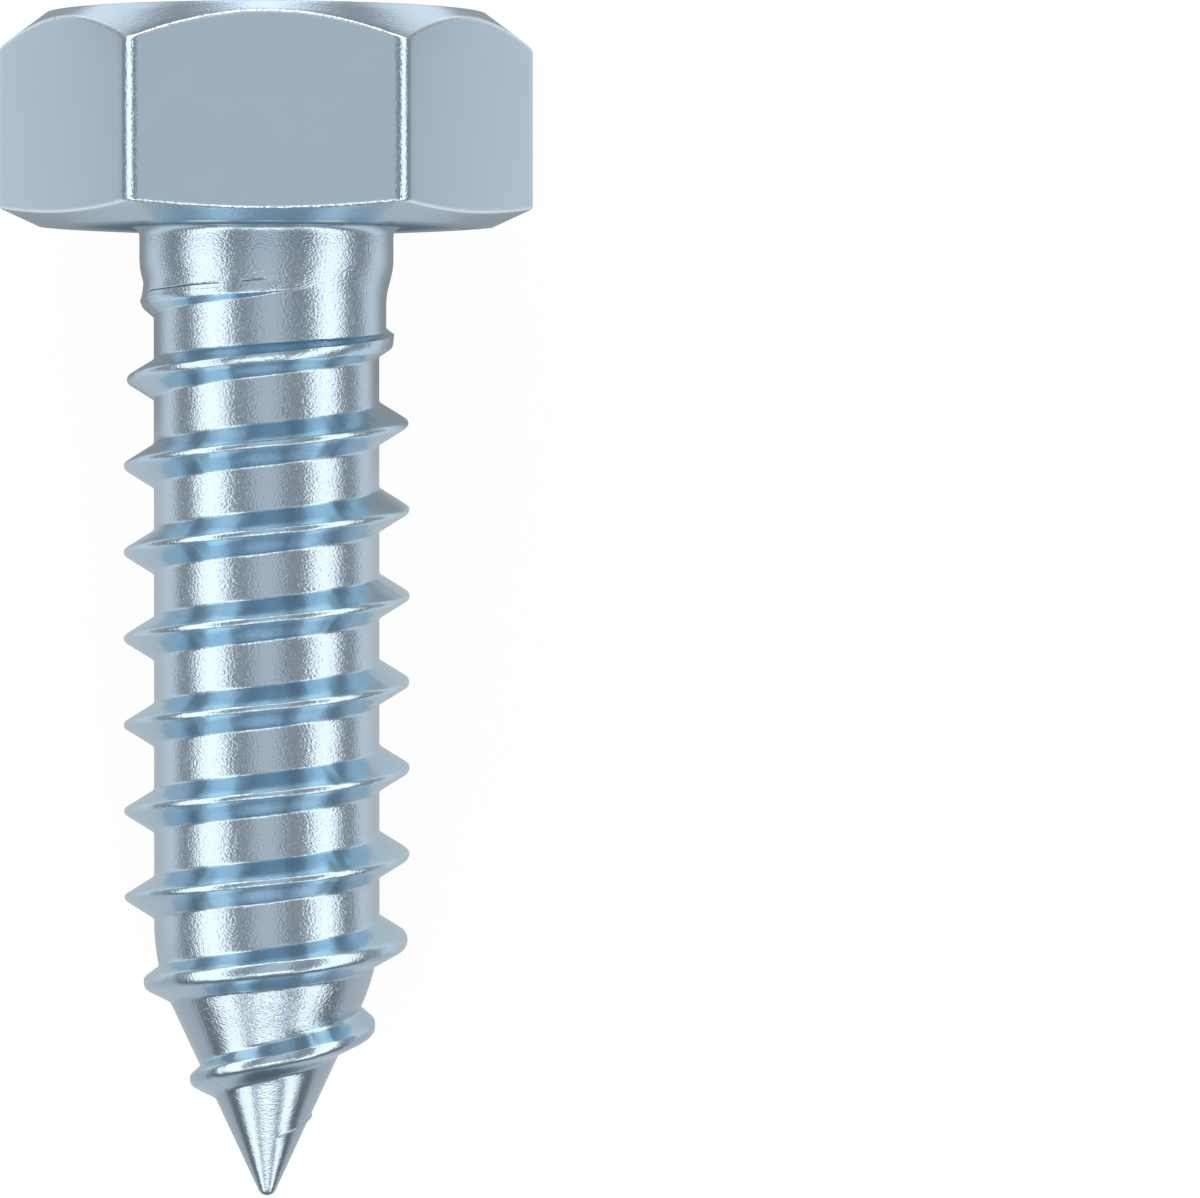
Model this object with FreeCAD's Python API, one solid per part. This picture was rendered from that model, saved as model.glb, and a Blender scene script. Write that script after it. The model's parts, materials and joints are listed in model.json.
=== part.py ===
import FreeCAD, Part
import math
import os

# A hex head sheet metal screw of the 6.3 mm size: one piece of steel, with a forged hexagon head,
# a short plain neck, a rolled right-hand thread and a cone point.
#
# The screw is first made upright, with its axis along Z, the bearing face under the head at Z = 0 and
# the point downwards. It is then laid down as it comes to rest on a table: the head points to +Y and
# lies on one of its flats, and the axis dips towards the point until the thread touches the table.
# The origin stays at the centre of the bearing face. All sizes are in millimetres and degrees.

# Head
ACROSS_FLATS = 10.0
HEAD_HEIGHT = 4.57
HEAD_CORNER_RADIUS = 0.42
TOP_CIRCLE_DIAMETER = 9.4
TOP_CHAMFER_ANGLE = 37.0
BEARING_CIRCLE_DIAMETER = 9.7
LOWER_CHAMFER_ANGLE = 24.5
LOWER_BEVEL_WIDTH = 0.13
LOWER_BEVEL_HEIGHT = 0.28

# Shank
LENGTH_UNDER_HEAD = 20.77
NECK_DIAMETER = 5.44
NECK_LENGTH = 0.72
NECK_FILLET_RADIUS = 0.15
GROOVE_RUN_OUT = 1.5
ROOT_DIAMETER = 4.83

# Point
POINT_ANGLE = 50.0
POINT_SHOULDER_RADIUS = 4.3
POINT_TIP_RADIUS = 0.2

# Thread
CREST_DIAMETER = 6.11
PITCH = 1.85
RIDGE_BASE_WIDTH = 0.955
FLANK_HALF_ANGLE = 31.5
THREAD_START_DEPTH = 0.77
RUN_IN_TURNS = 1.85
POINT_RIDGE_START = 0.25
POINT_RIDGE_END = 1.85

# Where the ridge starts, seen from the head's top and counted from +X
THREAD_START_ANGLE = -54.0

# How the model is built up
SECTIONS_PER_TURN = 12
CONTACT_SECTIONS_PER_TURN = 360
RIDGE_EMBED = 0.18
RIDGE_END_RECESS = 0.08
SHANK_EMBED = 1.0
OVERCUT = 1.0


def vector(radius, angle, height):
    """A point given by its distance from the axis, its angle about it and its height."""
    return FreeCAD.Vector(radius * math.cos(angle), radius * math.sin(angle), height)


def revolved(edges):
    """Turn a closed outline of edges in the XZ plane about the Z axis."""
    face = Part.Face(Part.Wire(edges))
    return face.revolve(FreeCAD.Vector(0, 0, 0), FreeCAD.Vector(0, 0, 1), 360)


def outline_point(radius, height):
    """A point of an outline that is turned about the axis."""
    return FreeCAD.Vector(radius, 0, height)


def sewn_solid(faces):
    """The solid that the faces close, with its outside outwards."""
    joined = Part.makeCompound(faces)
    joined.sewShape()
    solid = Part.makeSolid(joined.Shells[0])
    if solid.Volume < 0:
        solid.reverse()
    return solid


def polyline(points):
    """Straight edges from each point to the next."""
    return [Part.makeLine(first, second) for first, second in zip(points, points[1:])]


def hexagon(apothem, height):
    """A closed hexagon about the axis, with one of its flats facing -Y."""
    corner_radius = apothem / math.cos(math.pi / 6)
    corners = [vector(corner_radius, math.radians(60 * index), height) for index in range(7)]
    return Part.makePolygon(corners)


def hexagon_prism():
    """The hexagon bar of the head, with rounded corners and bevelled lower edges."""
    base = Part.Face(hexagon(ACROSS_FLATS / 2, 0))
    prism = base.extrude(FreeCAD.Vector(0, 0, HEAD_HEIGHT))
    upright = [edge for edge in prism.Edges if abs(edge.tangentAt(edge.FirstParameter).z) > 0.5]
    prism = prism.makeFillet(HEAD_CORNER_RADIUS, upright)

    narrow = hexagon(ACROSS_FLATS / 2 - LOWER_BEVEL_WIDTH, 0)
    growth = LOWER_BEVEL_WIDTH / LOWER_BEVEL_HEIGHT * HEAD_HEIGHT
    wide = hexagon(ACROSS_FLATS / 2 - LOWER_BEVEL_WIDTH + growth, HEAD_HEIGHT)
    return prism.common(Part.makeLoft([narrow, wide], True, True))


def head_envelope():
    """The turned form that chamfers the hexagon at both ends.

    Its cones are made spline surfaces, so that their edges on the flats are splines too. As exact
    hyperbolas those edges have no end, and measuring distances to them can fail.
    """
    outside = ACROSS_FLATS / 2 / math.cos(math.pi / 6) + OVERCUT
    bearing_radius = BEARING_CIRCLE_DIAMETER / 2
    top_radius = TOP_CIRCLE_DIAMETER / 2
    lower_rise = (outside - bearing_radius) * math.tan(math.radians(LOWER_CHAMFER_ANGLE))
    top_drop = (outside - top_radius) * math.tan(math.radians(TOP_CHAMFER_ANGLE))
    envelope = revolved(polyline([
        outline_point(0, 0),
        outline_point(bearing_radius, 0),
        outline_point(outside, lower_rise),
        outline_point(outside, HEAD_HEIGHT - top_drop),
        outline_point(top_radius, HEAD_HEIGHT),
        outline_point(0, HEAD_HEIGHT),
        outline_point(0, 0),
    ]))
    return envelope.toNurbs()


def point_half_angle():
    return math.radians(POINT_ANGLE / 2)


def apex_height():
    """Where the cone of the point would come to a sharp end."""
    past_tip = POINT_TIP_RADIUS * (1 / math.sin(point_half_angle()) - 1)
    return -LENGTH_UNDER_HEAD - past_tip


def shoulder_height():
    """Where the cone of the point would meet the core's cylinder."""
    return apex_height() + ROOT_DIAMETER / 2 / math.tan(point_half_angle())


def shoulder_reach():
    """How far the rounding between cylinder and cone runs along each of them."""
    return POINT_SHOULDER_RADIUS * math.tan(point_half_angle() / 2)


def outline_arc(centre, radius, first_turn, last_turn):
    """An arc of an outline, between two turns counted downwards from pointing away from the axis."""
    turns = (first_turn, (first_turn + last_turn) / 2, last_turn)
    points = [centre + vector(radius * math.cos(turn), 0, -radius * math.sin(turn)) for turn in turns]
    return Part.Arc(*points).toShape()


def core():
    """The shank without its thread ridge: neck, run-out of the grooves, core and point.

    The rounding between core and point is made a spline surface, which takes far fewer triangles.
    """
    neck_radius = NECK_DIAMETER / 2
    root_radius = ROOT_DIAMETER / 2
    fillet_centre = outline_point(neck_radius + NECK_FILLET_RADIUS, -NECK_FILLET_RADIUS)
    shoulder_start = outline_point(root_radius, shoulder_height() + shoulder_reach())
    shoulder_centre = shoulder_start - outline_point(POINT_SHOULDER_RADIUS, 0)
    tip_centre = outline_point(0, POINT_TIP_RADIUS - LENGTH_UNDER_HEAD)
    half_angle = point_half_angle()

    fillet = outline_arc(fillet_centre, NECK_FILLET_RADIUS, -math.pi / 2, -math.pi)
    shoulder = outline_arc(shoulder_centre, POINT_SHOULDER_RADIUS, 0, half_angle)
    tip = outline_arc(tip_centre, POINT_TIP_RADIUS, half_angle, math.pi / 2)
    inside = polyline([
        outline_point(0, -LENGTH_UNDER_HEAD),
        outline_point(0, SHANK_EMBED),
        outline_point(fillet_centre.x, SHANK_EMBED),
        outline_point(fillet_centre.x, 0),
    ])
    barrel = polyline([
        outline_point(neck_radius, -NECK_FILLET_RADIUS),
        outline_point(neck_radius, -NECK_LENGTH),
        outline_point(root_radius, -NECK_LENGTH - GROOVE_RUN_OUT),
        shoulder_start,
    ])
    cone = Part.makeLine(shoulder.lastVertex().Point, tip.firstVertex().Point)
    faces = []
    for face in revolved(inside + [fillet] + barrel + [shoulder, cone, tip]).Faces:
        rounding = face.Surface.TypeId == "Part::GeomSurfaceOfRevolution"
        faces += face.toNurbs().Faces if rounding else [face]
    return sewn_solid(faces)


def core_radius(height):
    """The core's radius under the thread ridge, on its cylinder, its shoulder or its cone."""
    shoulder_start = shoulder_height() + shoulder_reach()
    shoulder_end = shoulder_start - POINT_SHOULDER_RADIUS * math.sin(point_half_angle())
    if height > shoulder_start:
        return ROOT_DIAMETER / 2
    if height > shoulder_end:
        drop = shoulder_start - height
        sunk = POINT_SHOULDER_RADIUS - math.sqrt(POINT_SHOULDER_RADIUS ** 2 - drop ** 2)
        return ROOT_DIAMETER / 2 - sunk
    return (height - apex_height()) * math.tan(point_half_angle())


def ridge_end_height():
    """Where the ridge has sunk into the cone, above the screw's end."""
    return POINT_RIDGE_END - LENGTH_UNDER_HEAD


def ridge_height(height):
    """How far the crest stands out of the core.

    It starts a little inside the neck and rises evenly to its full height, and at the point it sinks
    faster and faster until it ends a little inside the cone.
    """
    full = (CREST_DIAMETER - ROOT_DIAMETER) / 2
    start = NECK_DIAMETER / 2 - RIDGE_END_RECESS - ROOT_DIAMETER / 2
    risen = (-THREAD_START_DEPTH - height) / (RUN_IN_TURNS * PITCH)
    rising = start + (full - start) * min(risen, 1)

    sink_start = shoulder_height() + shoulder_reach() - POINT_RIDGE_START
    sunk = (sink_start - height) / (sink_start - ridge_end_height())
    left = math.sqrt(max(0, min(1, 1 - sunk)))
    sinking = (full + RIDGE_END_RECESS) * left - RIDGE_END_RECESS
    return min(rising, sinking)


def ridge_section(height, angle):
    """The four corners of the ridge's section: upper foot, upper crest, lower crest, lower foot."""
    slope = math.tan(math.radians(FLANK_HALF_ANGLE))
    half_foot = RIDGE_BASE_WIDTH / 2 + RIDGE_EMBED * slope
    half_crest = RIDGE_BASE_WIDTH / 2 - ridge_height(height) * slope
    corners = (
        (half_foot, -RIDGE_EMBED),
        (half_crest, ridge_height(height)),
        (-half_crest, ridge_height(height)),
        (-half_foot, -RIDGE_EMBED),
    )
    return [vector(core_radius(height + along) + out, angle, height + along) for along, out in corners]


def smooth_curve(points):
    """One smooth curve through the points, with the same step of its parameter between them."""
    curve = Part.BSplineCurve()
    curve.interpolate(Points=list(points), Parameters=[float(index) for index in range(len(points))])
    return curve


def ridge_turns():
    """How many turns the ridge makes from its start at the neck to its end at the point."""
    return (-THREAD_START_DEPTH - ridge_end_height()) / PITCH


def ridge_sections(sections_per_turn):
    """Sections of the ridge from the neck down to the point, evenly spaced along its helix."""
    steps = round(ridge_turns() * sections_per_turn)
    sections = []
    for step in range(steps + 1):
        turned = ridge_turns() * step / steps
        angle = math.radians(THREAD_START_ANGLE) - 2 * math.pi * turned
        sections.append(ridge_section(-THREAD_START_DEPTH - PITCH * turned, angle))
    return sections


def thread_ridge():
    """The right-hand ridge: its four corners carried down the helix and joined by ruled faces.

    The faces are parted about once a turn, because a face that winds round many times can't be joined
    to the core.
    """
    sections = ridge_sections(SECTIONS_PER_TURN)
    curves = [smooth_curve(corners) for corners in zip(*sections)]
    stretches = max(1, round(ridge_turns()))
    stops = [(len(sections) - 1) * index / stretches for index in range(stretches + 1)]
    faces = []
    for first, last in zip(stops, stops[1:]):
        edges = [curve.toShape(first, last) for curve in curves]
        faces += [Part.makeRuledSurface(edge, edges[index - 1]) for index, edge in enumerate(edges)]
    for section in (sections[0], sections[-1]):
        faces.append(Part.Face(Part.makePolygon(section + [section[0]])))
    return sewn_solid(faces)


def resting_tilt():
    """The dip of the axis, in degrees, at which the lying screw's thread meets the table.

    The head bears on the lower end of a flat. Any crest could touch first, so the smallest dip that
    the crests allow is the one that the screw takes.
    """
    dips = []
    for section in ridge_sections(CONTACT_SECTIONS_PER_TURN):
        for corner in section:
            dips.append(math.atan2(ACROSS_FLATS / 2 - corner.y, LOWER_BEVEL_HEIGHT - corner.z))
    return math.degrees(min(dips))


def screw():
    """The whole screw, laid down on a flat of its head."""
    head = hexagon_prism().common(head_envelope())
    shape = head.fuse([core(), thread_ridge()]).removeSplitter()
    tilt = resting_tilt()
    shape.rotate(FreeCAD.Vector(0, 0, 0), FreeCAD.Vector(1, 0, 0), tilt - 90)
    print("tilt of the axis, degrees:", round(tilt, 4))
    return shape


def main():
    shape = screw()
    print("valid:", shape.isValid(), "solids:", len(shape.Solids), "volume:", round(shape.Volume, 2))
    os.makedirs("parts", exist_ok=True)
    shape.exportStep("parts/screw.step")


main()
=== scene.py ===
"""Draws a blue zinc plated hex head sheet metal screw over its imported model, lying on a pale studio floor."""

import json
import math

import bpy
import numpy as np
from mathutils import Matrix, Vector


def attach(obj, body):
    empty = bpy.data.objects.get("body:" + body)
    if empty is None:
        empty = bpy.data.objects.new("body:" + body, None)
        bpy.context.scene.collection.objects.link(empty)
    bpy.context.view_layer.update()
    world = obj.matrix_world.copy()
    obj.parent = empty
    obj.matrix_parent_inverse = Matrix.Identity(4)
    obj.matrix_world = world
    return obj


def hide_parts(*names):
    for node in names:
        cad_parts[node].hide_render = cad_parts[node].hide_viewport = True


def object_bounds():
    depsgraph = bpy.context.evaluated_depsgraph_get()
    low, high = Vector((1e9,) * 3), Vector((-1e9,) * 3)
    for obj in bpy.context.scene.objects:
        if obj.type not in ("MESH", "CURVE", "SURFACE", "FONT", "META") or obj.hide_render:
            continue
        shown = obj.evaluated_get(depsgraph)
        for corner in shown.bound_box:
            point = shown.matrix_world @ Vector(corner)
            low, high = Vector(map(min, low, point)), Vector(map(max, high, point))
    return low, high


bl_info = {
    "name": "Zinc Plated Hex Head Screw",
    "version": (1, 0, 0),
    "blender": (4, 5, 0),
    "location": "View3D > Sidebar > Screw",
    "description": "Builds a hex head sheet metal screw with its zinc finish, and a studio round it",
    "category": "Add Mesh",
}

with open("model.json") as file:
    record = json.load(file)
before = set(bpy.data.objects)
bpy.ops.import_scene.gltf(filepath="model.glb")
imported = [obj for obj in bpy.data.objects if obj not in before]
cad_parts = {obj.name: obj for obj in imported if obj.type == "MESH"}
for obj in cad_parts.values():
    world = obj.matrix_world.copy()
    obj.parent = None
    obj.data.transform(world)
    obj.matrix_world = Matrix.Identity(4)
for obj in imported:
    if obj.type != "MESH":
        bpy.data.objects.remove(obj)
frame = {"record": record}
CAD_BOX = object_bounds()

MM = 0.001
PIECE_NAME = "zinc_plated_screw"


def mount_axis(name):
    """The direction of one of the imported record's mounts."""
    mount = next(each for each in frame["record"]["mounts"] if each["name"] == name)
    return np.array(mount["axis"], float)


POINTWARDS = mount_axis("thread")
HEADWARDS = -POINTWARDS
UPWARDS = mount_axis("upper_wrench_flat")
SIDEWAYS = np.array([1.0, 0.0, 0.0])


def length_property(name, description, millimetres):
    """A length that the sidebar shows in the scene's unit and that is kept in metres."""
    return bpy.props.FloatProperty(
        name=name, description=description, default=millimetres * MM, unit="LENGTH", precision=5
    )


def angle_property(name, description, degrees):
    """An angle that the sidebar shows in degrees and that is kept in radians."""
    return bpy.props.FloatProperty(
        name=name, description=description, default=math.radians(degrees), unit="ROTATION"
    )


def share_property(name, description, value, most=1.0):
    """A plain number from 0 to most."""
    return bpy.props.FloatProperty(name=name, description=description, default=value, min=0.0, max=most)


def colour_property(name, description, colour):
    """A linear colour."""
    return bpy.props.FloatVectorProperty(
        name=name, description=description, default=colour, size=3, subtype="COLOR", min=0.0, max=1.0
    )


class HeadSizes(bpy.types.PropertyGroup):
    """Sizes of the hexagon head."""

    across_flats: length_property("Across flats", "Width of the hexagon between two flats", 10.0)
    height: length_property("Height", "Height of the head above its bearing face", 4.57)
    corner_radius: length_property("Corner radius", "Rounding of the hexagon's corners", 0.42)
    top_circle: length_property("Top circle", "Diameter of the flat on top of the head", 9.4)
    top_angle: angle_property("Top chamfer", "Slope of the chamfer round the top", 37.0)
    bearing_corner: length_property("Bearing corner", "Radius of the bearing face under a corner", 4.84)
    bearing_flat: length_property("Bearing flat", "Radius of the bearing face under a flat's middle", 4.585)
    skirt_height: length_property("Skirt height", "Height of a flat's lower edge at its middle", 0.25)
    skirt_rise: share_property("Skirt rise", "Rise of the lower edge for each unit outwards", 0.215)


class ShankSizes(bpy.types.PropertyGroup):
    """Sizes of the neck, the core, the point and the thread."""

    neck_diameter: length_property("Neck diameter", "Diameter of the blank under the head", 5.44)
    neck_length: length_property("Neck length", "Length of the plain neck under the head", 0.72)
    neck_fillet: length_property("Neck fillet", "Rounding between bearing face and neck", 0.2)
    length: length_property("Length", "Length from the bearing face to the point", 20.77)
    root_diameter: length_property("Root diameter", "Diameter of the core between the ridges", 4.83)
    run_out_diameter: length_property("Run-out diameter", "Diameter where the groove begins", 5.13)
    run_out_length: length_property("Run-out length", "Length of the slope from neck to groove", 0.9)
    crest_diameter: length_property("Crest diameter", "Diameter over the thread's crests", 6.12)
    pitch: length_property("Pitch", "Distance between two crests along the axis", 1.849)
    crest_depth: length_property("Crest depth", "Depth of the first full left-hand crest", 5.116)
    crest_width: length_property("Crest width", "Width of the flat along the crest", 0.11)
    flank_angle: angle_property("Flank angle", "Lean of each flank from square to the axis", 31.5)
    point_angle: angle_property("Point angle", "Angle of the cone of the point", 50.0)
    shoulder_radius: length_property("Shoulder radius", "Rounding between core and cone", 4.3)
    tip_radius: length_property("Tip radius", "Rounding of the point's end", 0.2)


class ZincFinish(bpy.types.PropertyGroup):
    """Colour and surface of the blue zinc plating."""

    colour: colour_property("Zinc", "Colour of the plating seen square on", (0.46, 0.575, 0.68))
    # The dark colour of the painted shade on the face under the head
    painted_shade_colour: colour_property("Painted shade", "Colour of the matt face under the head", (0.08, 0.18, 0.25))
    # The pale colour of the painted highlight on the head's edge roundings
    painted_highlight_colour: colour_property("Painted edge highlight", "Colour of the head's bright edges", (0.86, 0.93, 0.96))
    flank_colour: colour_property("Flank zinc", "Colour of the plating on the flanks", (0.475, 0.65, 0.78))
    pressed_roughness: share_property("Flats", "Roughness of the pressed flats and top", 0.27)
    turned_roughness: share_property("Chamfers", "Roughness of the turned chamfers", 0.17)
    edge_roughness: share_property("Edges", "Roughness of the head's worn edges", 0.12)
    rolled_roughness: share_property("Thread", "Roughness of the rolled thread", 0.15)
    flank_roughness: share_property("Flanks", "Roughness of the thread's flanks", 0.2)
    grain_height: length_property("Grain", "Height of the plating's fine grain", 0.0098)
    grain_size: length_property("Grain size", "Width of one grain", 0.034)
    lap_depth: length_property("Lap depth", "Depth of the rolled laps under the head", 0.02)
    mark_height: length_property("Turned marks", "Height of the marks on the chamfers", 0.0012)
    mark_spacing: length_property("Mark spacing", "Distance between two turned marks", 0.045)


class StudioSettings(bpy.types.PropertyGroup):
    """The lamps, the dim room, the floor and the camera."""

    lamp_radiance: share_property("Lamp", "Brightness of a lamp as metal sees it", 1.5, 10.0)
    lamp_colour: colour_property("Lamp colour", "Warmth of the lamps", (1.0, 0.92, 0.835))
    front_radiance: share_property("Front", "Brightness of the card round the camera", 0.79, 10.0)
    room_radiance: share_property("Room", "Brightness of the room elsewhere", 0.42, 10.0)
    # The sheet, its shade and the cards are painted into the floor's brightness as metal sees it
    sheet_radiance: share_property("Sheet", "Brightness of the sheet on the floor", 0.97, 10.0)
    shade_radiance: share_property("Shade", "Brightness of the sheet close to the screw", 0.55, 10.0)
    middle_card_radiance: share_property("Middle card", "Brightness of the card beyond the head", 1.4, 10.0)
    side_card_radiance: share_property("Side cards", "Brightness of the cards to both sides of it", 0.85, 10.0)
    floor_colour: share_property("Floor", "Paleness of the floor", 0.8)
    floor_whiteness: share_property("Whiteness", "Share of plain white in the floor near the screw", 0.86)
    eye_distance: length_property("Eye distance", "Distance from the camera to the axis", 164.4)
    eye_depth: length_property("Eye depth", "How far below the head the camera looks", 5.414)


# Sizes in the picture that the camera is fitted to, in pixels, and the camera's sensor in millimetres
PICTURE_WIDTH, PICTURE_HEIGHT = 1200, 1198
FOCAL_LENGTH = 7660.0
AXIS_COLUMN, HORIZON_ROW = 266.7, 480.0
SENSOR_WIDTH = 36.0

# Ramps of the painted brightness that metal sees in the floor, in metres from the screw's origin: those named
# SIDE run outwards from the axis, those named HEAD or BEYOND towards the head, and those named POINT towards
# the point
SHADE_SIDE, SHADE_POINT = (0.0, 0.012), (0.016, 0.019)
UNDER_SIDE, UNDER_HEAD = (0.006, 0.010), (-0.006, -0.003)
SHEET_SIDE, SHEET_HEAD, SHEET_POINT = (0.0185, 0.026), (0.008, 0.011), (0.0215, 0.0265)
DARK_POINT = (0.023, 0.027)
MIDDLE_CARD_SIDE, MIDDLE_CARD_BEYOND = (0.004, 0.0078), (0.022, 0.027)
SIDE_CARD_SIDE, SIDE_CARD_BEYOND = (0.0055, 0.007, 0.013, 0.017), (0.010, 0.0125, 0.0225, 0.026)

# Share of the sheet's brightness that is left by the point, and what painted shade takes off under the head and
# past the point
SHADE_POINT_SHARE, UNDER_LOSS, DARK_LOSS = 0.68, 0.45, 0.48

# Half the floor's side in metres, its white as the camera sees it, and the most that metal can see in it
FLOOR_REACH, FLOOR_WHITE, BRIGHTEST = 0.5, 1.06, 4.0

# The card round the camera: the angle round the axis where it ends, the cosine to the axis where it dims,
# and what is lost there
FRONT_EDGE = (math.radians(13), math.radians(19))
FRONT_END, FRONT_LOSS = (0.77, 0.87), 0.5

# Each lamp's angles off straight up, across the axis and along it, in degrees, then its width and length
# in metres, and how far they all stand from the point below the head that they are aimed at
LAMPS = {
    "left_lamp": (-59, 0, 0.202, 1.4),
    "right_lamp": (61.7, 0, 0.170, 1.4),
    "foot_lamp": (0, -49, 0.21, 0.1),
    "head_lamp": (0, 76, 0.29, 0.12),
}
LAMP_DISTANCE, LAMP_AIM = 0.3, 0.008

# The columns and rows of the mesh: steps over each rounding and along each straight stretch of an outline
SIDES = 6
HALF_SIDE = math.radians(180 / SIDES)
CORNER_STEPS, FLAT_STEPS = 4, 32
HEAD_ARCS, HEAD_STRAIGHTS = [3, 6, 6, 3, 6], [4, 4, 6, 4, 3, 2]
RIDGE_ARCS, RIDGE_STRAIGHTS = [4, 3, 3, 4], [4, 3, 1, 3, 4]
CONE_STEPS, BALL_STEPS = 8, 6
FIRST_TURN, LAST_TURN = -3, 8

# Heights in mm where the thread's band begins and ends, and how near to them a point falls onto its end ring
RING_HEIGHT, END_RING_HEIGHT, SNAP = -0.55, -19.9, 0.015

# Roundings in mm of the head's edges, from the top circle to the rim of the bearing face
HEAD_ROUNDINGS = [0.05, 0.15, 0.11, 0.03]

# The finishes, painted shade and painted highlight among them, their levels on the straight stretches of the
# outlines, the arcs of the head's edges that carry the painted highlight, and the angle over which a corner is
# worn
FINISH_ZONES = ("pressed", "turned", "flank", "painted_shade_share", "edge")
PRESSED_LEVELS = [1, 0, 1, 0.3, 0, 0]
TURNED_LEVELS = [0, 1, 0, 0.3, 1, 0]
SKIRT_FLANK_LEVELS = [0, 0, 0, 0.5, 0.9, 0]
RIDGE_FLANK_LEVELS = [0, 1, 0.3, 1, 0]
ON_FLAT_LEVELS = [0, 0, 1, 0, 0, 0]
BRIGHT_ARCS = (1, 2)
WORN_CORNER = (math.radians(1.4), math.radians(2.2))

# The share of painted shade on the bearing face, a dark rough surface that stands in for the shade there, on
# the rows from its rim to the neck's fillet
PAINTED_SHADE_ROWS = ([35, 36, 37, 38, 39, 41], [0.0, 0.08, 0.14, 0.7, 0.85, 0.0])

# The thread's ramps along its turns, counted down from the left of the first full crest
GROOVE_DEEPENS = (-1.38, -1.02)
RIDGE_RISES, RIDGE_SINKS = (-2.31, -2.2), (7.42, 7.56)
RIDGE_FILLS, LOWER_FLANK_STEEPENS = (-1.7, -1.0), (-2.0, -1.2)
LIP_STARTS, LIP_GROWS, LIP_ENDS = (7.44, 7.56), (7.5, 7.6), (7.68, 7.72)
ROWS_GATHER, ROWS_SPREAD = (-2.36, -2.29), (7.72, 7.8)

# Its changes: places in turns, then levels in mm, or a slope for EARLY_LEAN. The crest's starts and ends are
# measured from its middle line, its radii from its full radius, and the late drop towards the point
CREST_STARTS = (
    [-2.32, -2.19, -2.0, -1.5, -1.25, -1.0, 4.9, 5.5, 6.5, 7.2, 7.5],
    [-0.42, -0.33, -0.20, 0.0, 0.02, 0.0, 0.0, 0.07, 0.06, 0.03, 0.11],
)
CREST_ENDS = (
    [-2.32, -2.14, -2.0, -1.5, -1.25, -1.0, 4.9, 5.5, 6.5, 7.2, 7.5],
    [0.47, 0.29, 0.2, 0.145, 0.03, 0.0, 0.0, 0.07, 0.06, 0.03, -0.19],
)
EARLY_RISE = ([-2.34, -2.2, -2.0, -1.5], [0.0, 0.07, 0.13, 0.165])
EARLY_LEAN = ([-2.34, -2.0, -1.75, -1.6, -1.5, -1.4, -1.2, -1.0], [2.4, 2.2, 1.2, 0.5, 0.1, -0.15, -0.1, 0.0])
CREST_RADII = (
    [-1.5, -1.25, -1.0, -0.5, 0.5, 4.6, 5.0, 5.5, 6.0, 6.5, 7.0, 7.5],
    [-0.33, -0.142, -0.071, -0.02, 0.0, 0.0, -0.012, -0.045, -0.425, -0.74, -1.42, -2.06],
)
LATE_DROP = ([6.2, 6.5, 6.75, 7.0, 7.2], [0.0, 0.04, 0.15, 0.25, 0.26])

# The lip near the tip and the roundings of the ridge, in mm, each with its gain along its ramp, and the
# extra slope of the first lower flank
LIP_HEIGHT, LIP_GAIN = 0.006, 0.007
FOOT_ROUNDING, FOOT_GAIN = 0.05, 0.07
CREST_ROUNDING, CREST_GAIN = 0.05, 0.11
LOWER_FLANK_LEAN = 0.25

# The height in mm from which a ridge has the flanks' whole finish, and the leans over which it loses it
FULL_FLANK, FLAT_LEAN = 0.12, (0.3, 1.5)

# The crest's slight waves: size in mm, seed, and the slowest and fastest count in a turn
START_WAVE, END_WAVE, RADIUS_WAVE = (0.003, 12, 4, 45), (0.003, 13, 4, 45), (0.0025, 11, 3, 40)

# Two creases under the head, in turns and mm: their line is height = -(start + pitch * turn)
FRONT_TURN = -2.25
LAP_START, LAP_PITCH, LAP_WIDTH = 3.657, 1.109, 0.03
LAP_ENDS = ((-2.195, -2.18, -2.07, -2.045), (-2.25, -2.244, -2.222, -2.216))

# The plating's grain: its shape, the share that each finish takes away, what an edge adds, and where the
# point's smoother cone begins, in metres below the head
GRAIN_SHAPE = (0.58, 0.58, 1)
PRESSED_LOSS, TURNED_LOSS, FLANK_LOSS, EDGE_GRAIN = 0.8, 0.7, 0.7, 0.8
CONE_START, CONE_LOSS = (0.0165, 0.018), 0.5

# Soft clouds in the plating's colour and roughness, how strongly an edge takes its painted highlight colour,
# and the roughness of the painted shade under the head
CLOUD_SCALE, CLOUD_SHADE, CLOUD_ROUGHNESS = 900.0, 0.95, 0.04
PAINTED_HIGHLIGHT_STRENGTH = 1.3
PAINTED_SHADE_ROUGHNESS = 0.8


def in_millimetres(sizes):
    """The values of a group of sizes as plain numbers, lengths in millimetres."""
    values = {}
    for name, kind in sizes.bl_rna.properties.items():
        if kind.type == "FLOAT" and not kind.is_array:
            scale = 1 / MM if kind.unit == "LENGTH" else 1.0
            values[name] = getattr(sizes, name) * scale
    return values


def smooth(value, start, end):
    """A ramp from 0 at start to 1 at end that leaves and arrives level."""
    share = np.clip((value - start) / (end - start), 0, 1)
    return share * share * (3 - 2 * share)


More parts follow.
